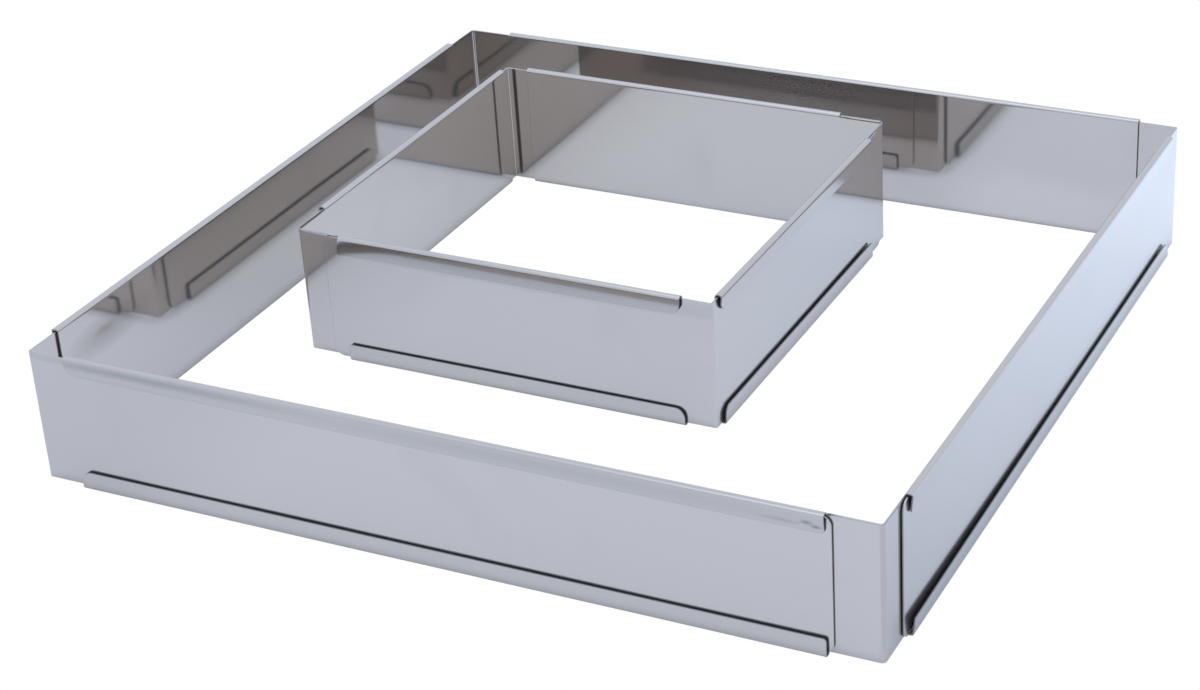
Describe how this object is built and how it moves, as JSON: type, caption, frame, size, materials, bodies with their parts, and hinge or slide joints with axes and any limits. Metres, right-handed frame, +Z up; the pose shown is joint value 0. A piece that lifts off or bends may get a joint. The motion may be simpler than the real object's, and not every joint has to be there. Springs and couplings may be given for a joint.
{
  "type": "adjustable cake ring",
  "caption": "Nested square cake rings of folded stainless sheet; plain corners slide in hemmed rail corners to set each ring's width and depth.",
  "frame": {"origin": "on the table, at the middle of the large ring's footprint", "axes": "+Z up from the table; +X along the front wall towards the front right corner; +Y from the front wall to the back wall"},
  "size_m": [0.3184, 0.3156, 0.0518],
  "materials": {
    "polished_steel": "polished stainless sheet with a faint rolled grain"
  },
  "bodies": {
    "large_ring_front_right_rail": {"large_ring_front_right_rail_corner": "polished_steel"},
    "large_ring_front_left_plain": {"large_ring_front_left_plain_corner": "polished_steel"},
    "large_ring_back_right_plain": {"large_ring_back_right_plain_corner": "polished_steel"},
    "large_ring_back_left_rail": {"large_ring_back_left_rail_corner": "polished_steel"},
    "small_ring_back_left_plain": {"small_ring_back_left_plain_corner": "polished_steel"},
    "small_ring_front_left_rail": {"small_ring_front_left_rail_corner": "polished_steel"},
    "small_ring_back_right_rail": {"small_ring_back_right_rail_corner": "polished_steel"},
    "small_ring_front_right_plain": {"small_ring_front_right_plain_corner": "polished_steel"}
  },
  "joints": [
    {"name": "large_ring_width", "type": "slide", "parent": "large_ring_front_right_rail", "child": "large_ring_front_left_plain", "axis": [-1, 0, 0], "range_m": [-0.0129, 0.253]},
    {"name": "large_ring_depth", "type": "slide", "parent": "large_ring_front_right_rail", "child": "large_ring_back_right_plain", "axis": [0, 1, 0], "range_m": [-0.0102, 0.257]},
    {"name": "large_ring_back_corner_slide", "type": "slide", "parent": "large_ring_front_left_plain", "child": "large_ring_back_left_rail", "axis": [0, 1, 0], "range_m": [-0.0102, 0.257]},
    {"name": "small_ring_lift", "type": "slide", "parent": "large_ring_front_right_rail", "child": "small_ring_back_left_plain", "axis": [0, 0, 1], "range_m": [0, 0.06]},
    {"name": "small_ring_depth", "type": "slide", "parent": "small_ring_back_left_plain", "child": "small_ring_front_left_rail", "axis": [0, -1, 0], "range_m": [-0.0028, 0.105]},
    {"name": "small_ring_width", "type": "slide", "parent": "small_ring_back_left_plain", "child": "small_ring_back_right_rail", "axis": [1, 0, 0], "range_m": [-0.0074, 0.1]},
    {"name": "small_ring_front_corner_slide", "type": "slide", "parent": "small_ring_front_left_rail", "child": "small_ring_front_right_plain", "axis": [1, 0, 0], "range_m": [-0.0074, 0.1]}
  ],
  "couplings": [
    {"joint": "large_ring_back_corner_slide", "follows": "large_ring_depth", "ratio": 1},
    {"joint": "small_ring_front_corner_slide", "follows": "small_ring_width", "ratio": 1}
  ]
}
